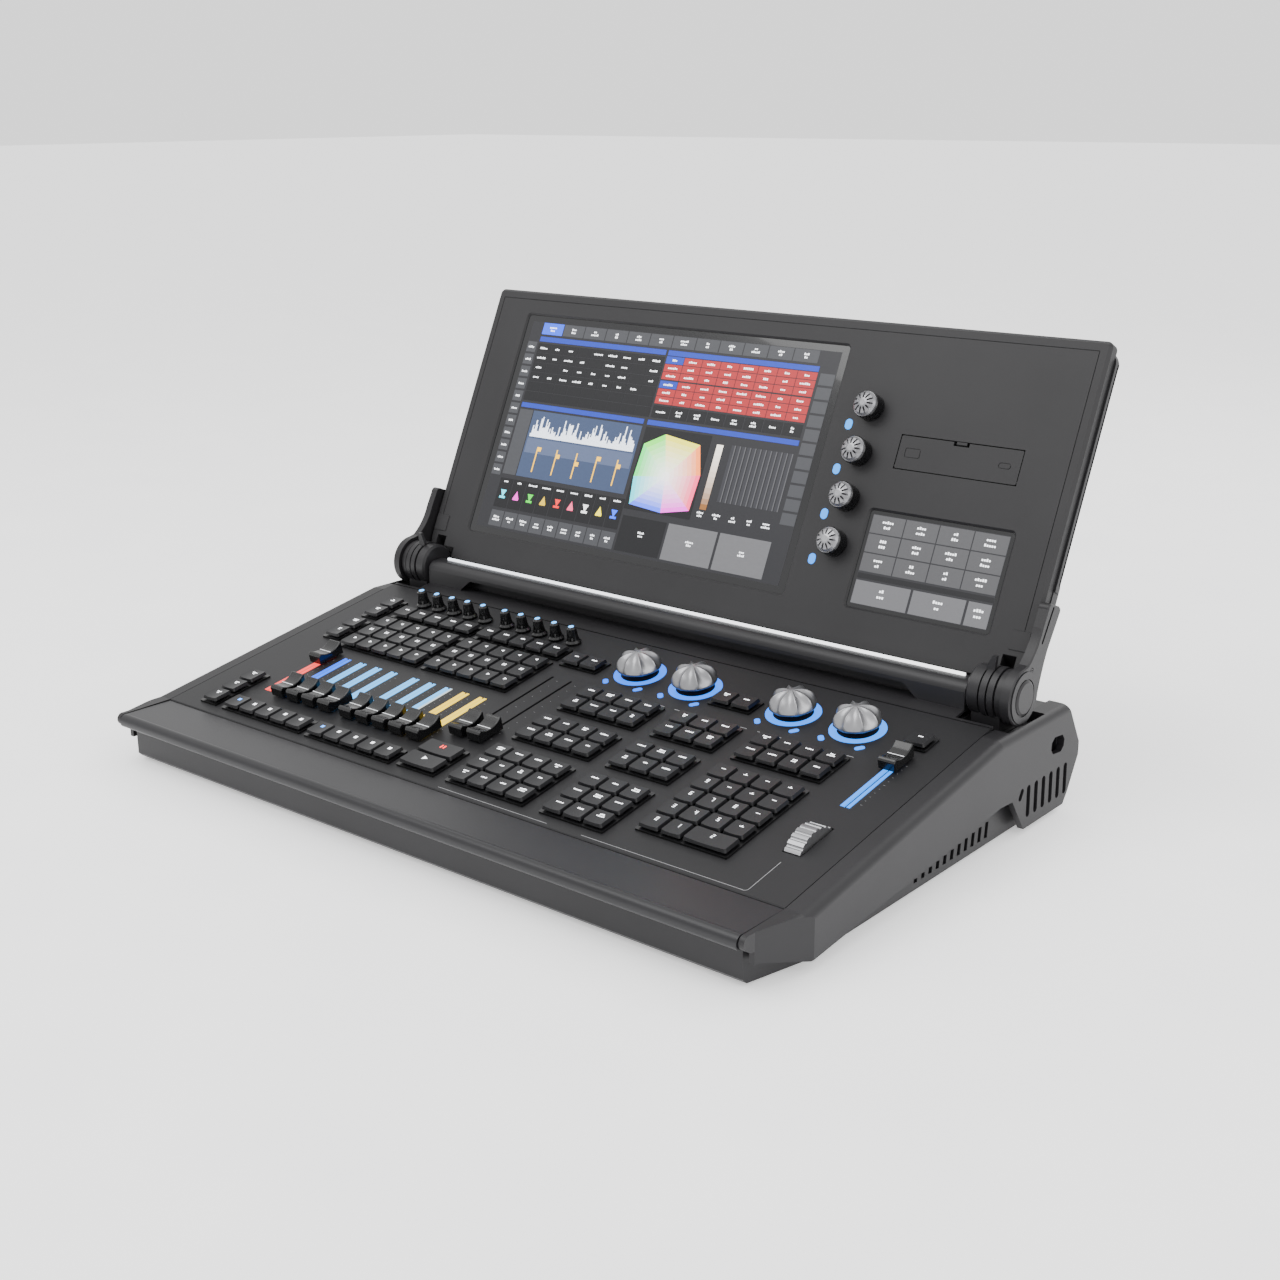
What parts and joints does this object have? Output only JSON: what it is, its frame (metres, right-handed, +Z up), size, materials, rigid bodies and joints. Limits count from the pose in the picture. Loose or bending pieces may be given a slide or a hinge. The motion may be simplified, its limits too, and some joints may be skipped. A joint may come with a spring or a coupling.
{
  "type": "lighting control desk",
  "caption": "Lighting control desk with a sloping panel of faders, keys and encoders, and a hinged display lid with two screens.",
  "frame": {"origin": "centre of the overall bounding box in plan, on the floor under the feet", "axes": "+X to the operator's right, +Y away from the operator, +Z up"},
  "size_m": [0.676, 0.4891, 0.3547],
  "materials": {
    "casing": "satin charcoal paint",
    "cheeks": "fine textured charcoal",
    "rest": "smooth satin charcoal",
    "feet": "matt black",
    "panel": "fine matt dark grey",
    "plinths": "soft gloss black",
    "keys": "dark grey caps with lit legends",
    "guides": "lit diffuser",
    "units": "black",
    "bridge": "satin charcoal paint",
    "connectors": "black",
    "screws": "blackened steel",
    "board": "green laminate",
    "supply": "folded sheet",
    "bezel": "fine textured charcoal",
    "screens": "lit display glass",
    "fader_caps": "soft gloss black",
    "knobs": "soft gloss black",
    "encoders": "satin silver"
  },
  "bodies": {
    "desk": {"base_tray": "casing", "left_cheek": "cheeks", "right_cheek": "cheeks", "wrist_rest": "rest", "rubber_feet": "feet", "control_panel": "panel", "rear_cover": "casing", "rear_connectors": "connectors", "hinge_bridge": "bridge", "bridge_lamp": "guides", "hinge_barrels": "casing", "casing_screws": "screws", "main_board": "board", "power_supply": "supply", "key_plinths": "plinths", "light_guides": "guides", "control_units": "units"},
    "lid": {"lid_bezel": "bezel", "lid_back_shell": "cheeks", "main_display": "screens", "side_display": "screens", "hinge_arms": "casing", "lid_light_pills": "guides"},
    "playback_fader_1": {"playback_fader_1": "fader_caps"},
    "playback_fader_2": {"playback_fader_2": "fader_caps"},
    "playback_fader_3": {"playback_fader_3": "fader_caps"},
    "playback_fader_4": {"playback_fader_4": "fader_caps"},
    "playback_fader_5": {"playback_fader_5": "fader_caps"},
    "playback_fader_6": {"playback_fader_6": "fader_caps"},
    "playback_fader_7": {"playback_fader_7": "fader_caps"},
    "playback_fader_8": {"playback_fader_8": "fader_caps"},
    "playback_fader_9": {"playback_fader_9": "fader_caps"},
    "playback_fader_10": {"playback_fader_10": "fader_caps"},
    "crossfader_1": {"crossfader_1": "fader_caps"},
    "crossfader_2": {"crossfader_2": "fader_caps"},
    "master_fader": {"master_fader": "fader_caps"},
    "flash_keys": {"flash_keys": "keys"},
    "playback_keys": {"playback_keys": "keys"},
    "transport_keys": {"transport_keys": "keys"},
    "programmer_keys": {"programmer_keys": "keys"},
    "main_encoder_1": {"main_encoder_1": "encoders"},
    "main_encoder_2": {"main_encoder_2": "encoders"},
    "main_encoder_3": {"main_encoder_3": "encoders"},
    "main_encoder_4": {"main_encoder_4": "encoders"},
    "playback_knob_1": {"playback_knob_1": "knobs"},
    "playback_knob_2": {"playback_knob_2": "knobs"},
    "playback_knob_3": {"playback_knob_3": "knobs"},
    "playback_knob_4": {"playback_knob_4": "knobs"},
    "playback_knob_5": {"playback_knob_5": "knobs"},
    "playback_knob_6": {"playback_knob_6": "knobs"},
    "playback_knob_7": {"playback_knob_7": "knobs"},
    "playback_knob_8": {"playback_knob_8": "knobs"},
    "playback_knob_9": {"playback_knob_9": "knobs"},
    "playback_knob_10": {"playback_knob_10": "knobs"},
    "lid_encoder_1": {"lid_encoder_1": "encoders"},
    "lid_encoder_2": {"lid_encoder_2": "encoders"},
    "lid_encoder_3": {"lid_encoder_3": "encoders"},
    "lid_encoder_4": {"lid_encoder_4": "encoders"},
    "scroll_wheel": {"scroll_wheel": "encoders"},
    "drive_door": {"drive_door": "bezel"}
  },
  "joints": [
    {"name": "lid_hinge", "type": "hinge", "parent": "desk", "child": "lid", "pos_m": [0, 0.0975, 0.1064], "axis": [1, 0, 0], "range_deg": [-20, 115]},
    {"name": "playback_fader_1_slide", "type": "slide", "parent": "desk", "child": "playback_fader_1", "axis": [0, 0.9846, 0.1749], "range_m": [-0.06, 0]},
    {"name": "playback_fader_2_slide", "type": "slide", "parent": "desk", "child": "playback_fader_2", "axis": [0, 0.9846, 0.1749], "range_m": [0, 0.06]},
    {"name": "playback_fader_3_slide", "type": "slide", "parent": "desk", "child": "playback_fader_3", "axis": [0, 0.9846, 0.1749], "range_m": [0, 0.06]},
    {"name": "playback_fader_4_slide", "type": "slide", "parent": "desk", "child": "playback_fader_4", "axis": [0, 0.9846, 0.1749], "range_m": [0, 0.06]},
    {"name": "playback_fader_5_slide", "type": "slide", "parent": "desk", "child": "playback_fader_5", "axis": [0, 0.9846, 0.1749], "range_m": [0, 0.06]},
    {"name": "playback_fader_6_slide", "type": "slide", "parent": "desk", "child": "playback_fader_6", "axis": [0, 0.9846, 0.1749], "range_m": [0, 0.06]},
    {"name": "playback_fader_7_slide", "type": "slide", "parent": "desk", "child": "playback_fader_7", "axis": [0, 0.9846, 0.1749], "range_m": [0, 0.06]},
    {"name": "playback_fader_8_slide", "type": "slide", "parent": "desk", "child": "playback_fader_8", "axis": [0, 0.9846, 0.1749], "range_m": [0, 0.06]},
    {"name": "playback_fader_9_slide", "type": "slide", "parent": "desk", "child": "playback_fader_9", "axis": [0, 0.9846, 0.1749], "range_m": [0, 0.06]},
    {"name": "playback_fader_10_slide", "type": "slide", "parent": "desk", "child": "playback_fader_10", "axis": [0, 0.9846, 0.1749], "range_m": [0, 0.06]},
    {"name": "crossfader_1_slide", "type": "slide", "parent": "desk", "child": "crossfader_1", "axis": [0, 0.9846, 0.1749], "range_m": [-0.0025, 0.0975]},
    {"name": "crossfader_2_slide", "type": "slide", "parent": "desk", "child": "crossfader_2", "axis": [0, 0.9846, 0.1749], "range_m": [-0.0025, 0.0975]},
    {"name": "master_fader_slide", "type": "slide", "parent": "desk", "child": "master_fader", "axis": [0, 0.9846, 0.1749], "range_m": [-0.06, 0]},
    {"name": "flash_keys_slide", "type": "slide", "parent": "desk", "child": "flash_keys", "axis": [0, 0.1749, -0.9846], "range_m": [0, 0.001], "stiffness_N_per_m": 1500, "springref_m": -0.002},
    {"name": "playback_keys_slide", "type": "slide", "parent": "desk", "child": "playback_keys", "axis": [0, 0.1749, -0.9846], "range_m": [0, 0.001], "stiffness_N_per_m": 1500, "springref_m": -0.002},
    {"name": "transport_keys_slide", "type": "slide", "parent": "desk", "child": "transport_keys", "axis": [0, 0.1749, -0.9846], "range_m": [0, 0.001], "stiffness_N_per_m": 1500, "springref_m": -0.002},
    {"name": "programmer_keys_slide", "type": "slide", "parent": "desk", "child": "programmer_keys", "axis": [0, 0.1749, -0.9846], "range_m": [0, 0.001], "stiffness_N_per_m": 1500, "springref_m": -0.002},
    {"name": "main_encoder_1_turn", "type": "hinge", "parent": "desk", "child": "main_encoder_1", "pos_m": [0.0223, 0.0222, 0.08127], "axis": [0, -0.1749, 0.9846], "continuous": true},
    {"name": "main_encoder_2_turn", "type": "hinge", "parent": "desk", "child": "main_encoder_2", "pos_m": [0.0799, 0.0222, 0.08127], "axis": [0, -0.1749, 0.9846], "continuous": true},
    {"name": "main_encoder_3_turn", "type": "hinge", "parent": "desk", "child": "main_encoder_3", "pos_m": [0.1752, 0.0222, 0.08127], "axis": [0, -0.1749, 0.9846], "continuous": true},
    {"name": "main_encoder_4_turn", "type": "hinge", "parent": "desk", "child": "main_encoder_4", "pos_m": [0.2336, 0.0222, 0.08127], "axis": [0, -0.1749, 0.9846], "continuous": true},
    {"name": "playback_knob_1_turn", "type": "hinge", "parent": "desk", "child": "playback_knob_1", "pos_m": [-0.2521, 0.0415, 0.0847], "axis": [0, -0.1749, 0.9846], "continuous": true},
    {"name": "playback_knob_2_turn", "type": "hinge", "parent": "desk", "child": "playback_knob_2", "pos_m": [-0.2324, 0.0415, 0.0847], "axis": [0, -0.1749, 0.9846], "continuous": true},
    {"name": "playback_knob_3_turn", "type": "hinge", "parent": "desk", "child": "playback_knob_3", "pos_m": [-0.2127, 0.0415, 0.0847], "axis": [0, -0.1749, 0.9846], "continuous": true},
    {"name": "playback_knob_4_turn", "type": "hinge", "parent": "desk", "child": "playback_knob_4", "pos_m": [-0.193, 0.0415, 0.0847], "axis": [0, -0.1749, 0.9846], "continuous": true},
    {"name": "playback_knob_5_turn", "type": "hinge", "parent": "desk", "child": "playback_knob_5", "pos_m": [-0.1733, 0.0415, 0.0847], "axis": [0, -0.1749, 0.9846], "continuous": true},
    {"name": "playback_knob_6_turn", "type": "hinge", "parent": "desk", "child": "playback_knob_6", "pos_m": [-0.1467, 0.0415, 0.0847], "axis": [0, -0.1749, 0.9846], "continuous": true},
    {"name": "playback_knob_7_turn", "type": "hinge", "parent": "desk", "child": "playback_knob_7", "pos_m": [-0.127, 0.0415, 0.0847], "axis": [0, -0.1749, 0.9846], "continuous": true},
    {"name": "playback_knob_8_turn", "type": "hinge", "parent": "desk", "child": "playback_knob_8", "pos_m": [-0.1073, 0.0415, 0.0847], "axis": [0, -0.1749, 0.9846], "continuous": true},
    {"name": "playback_knob_9_turn", "type": "hinge", "parent": "desk", "child": "playback_knob_9", "pos_m": [-0.0876, 0.0415, 0.0847], "axis": [0, -0.1749, 0.9846], "continuous": true},
    {"name": "playback_knob_10_turn", "type": "hinge", "parent": "desk", "child": "playback_knob_10", "pos_m": [-0.0679, 0.0415, 0.0847], "axis": [0, -0.1749, 0.9846], "continuous": true},
    {"name": "lid_encoder_1_turn", "type": "hinge", "parent": "lid", "child": "lid_encoder_1", "pos_m": [0.129, 0.19363, 0.28873], "axis": [0, -0.9046, 0.4263], "continuous": true},
    {"name": "lid_encoder_2_turn", "type": "hinge", "parent": "lid", "child": "lid_encoder_2", "pos_m": [0.129, 0.17717, 0.25381], "axis": [0, -0.9046, 0.4263], "continuous": true},
    {"name": "lid_encoder_3_turn", "type": "hinge", "parent": "lid", "child": "lid_encoder_3", "pos_m": [0.129, 0.16072, 0.2189], "axis": [0, -0.9046, 0.4263], "continuous": true},
    {"name": "lid_encoder_4_turn", "type": "hinge", "parent": "lid", "child": "lid_encoder_4", "pos_m": [0.129, 0.14426, 0.18398], "axis": [0, -0.9046, 0.4263], "continuous": true},
    {"name": "scroll_wheel_turn", "type": "hinge", "parent": "desk", "child": "scroll_wheel", "pos_m": [0.288, -0.11917, 0.0389], "axis": [1, 0, 0], "continuous": true},
    {"name": "drive_door_hinge", "type": "hinge", "parent": "lid", "child": "drive_door", "pos_m": [0.21825, 0.17601, 0.24806], "axis": [1, 0, 0], "range_deg": [0, 100]}
  ]
}
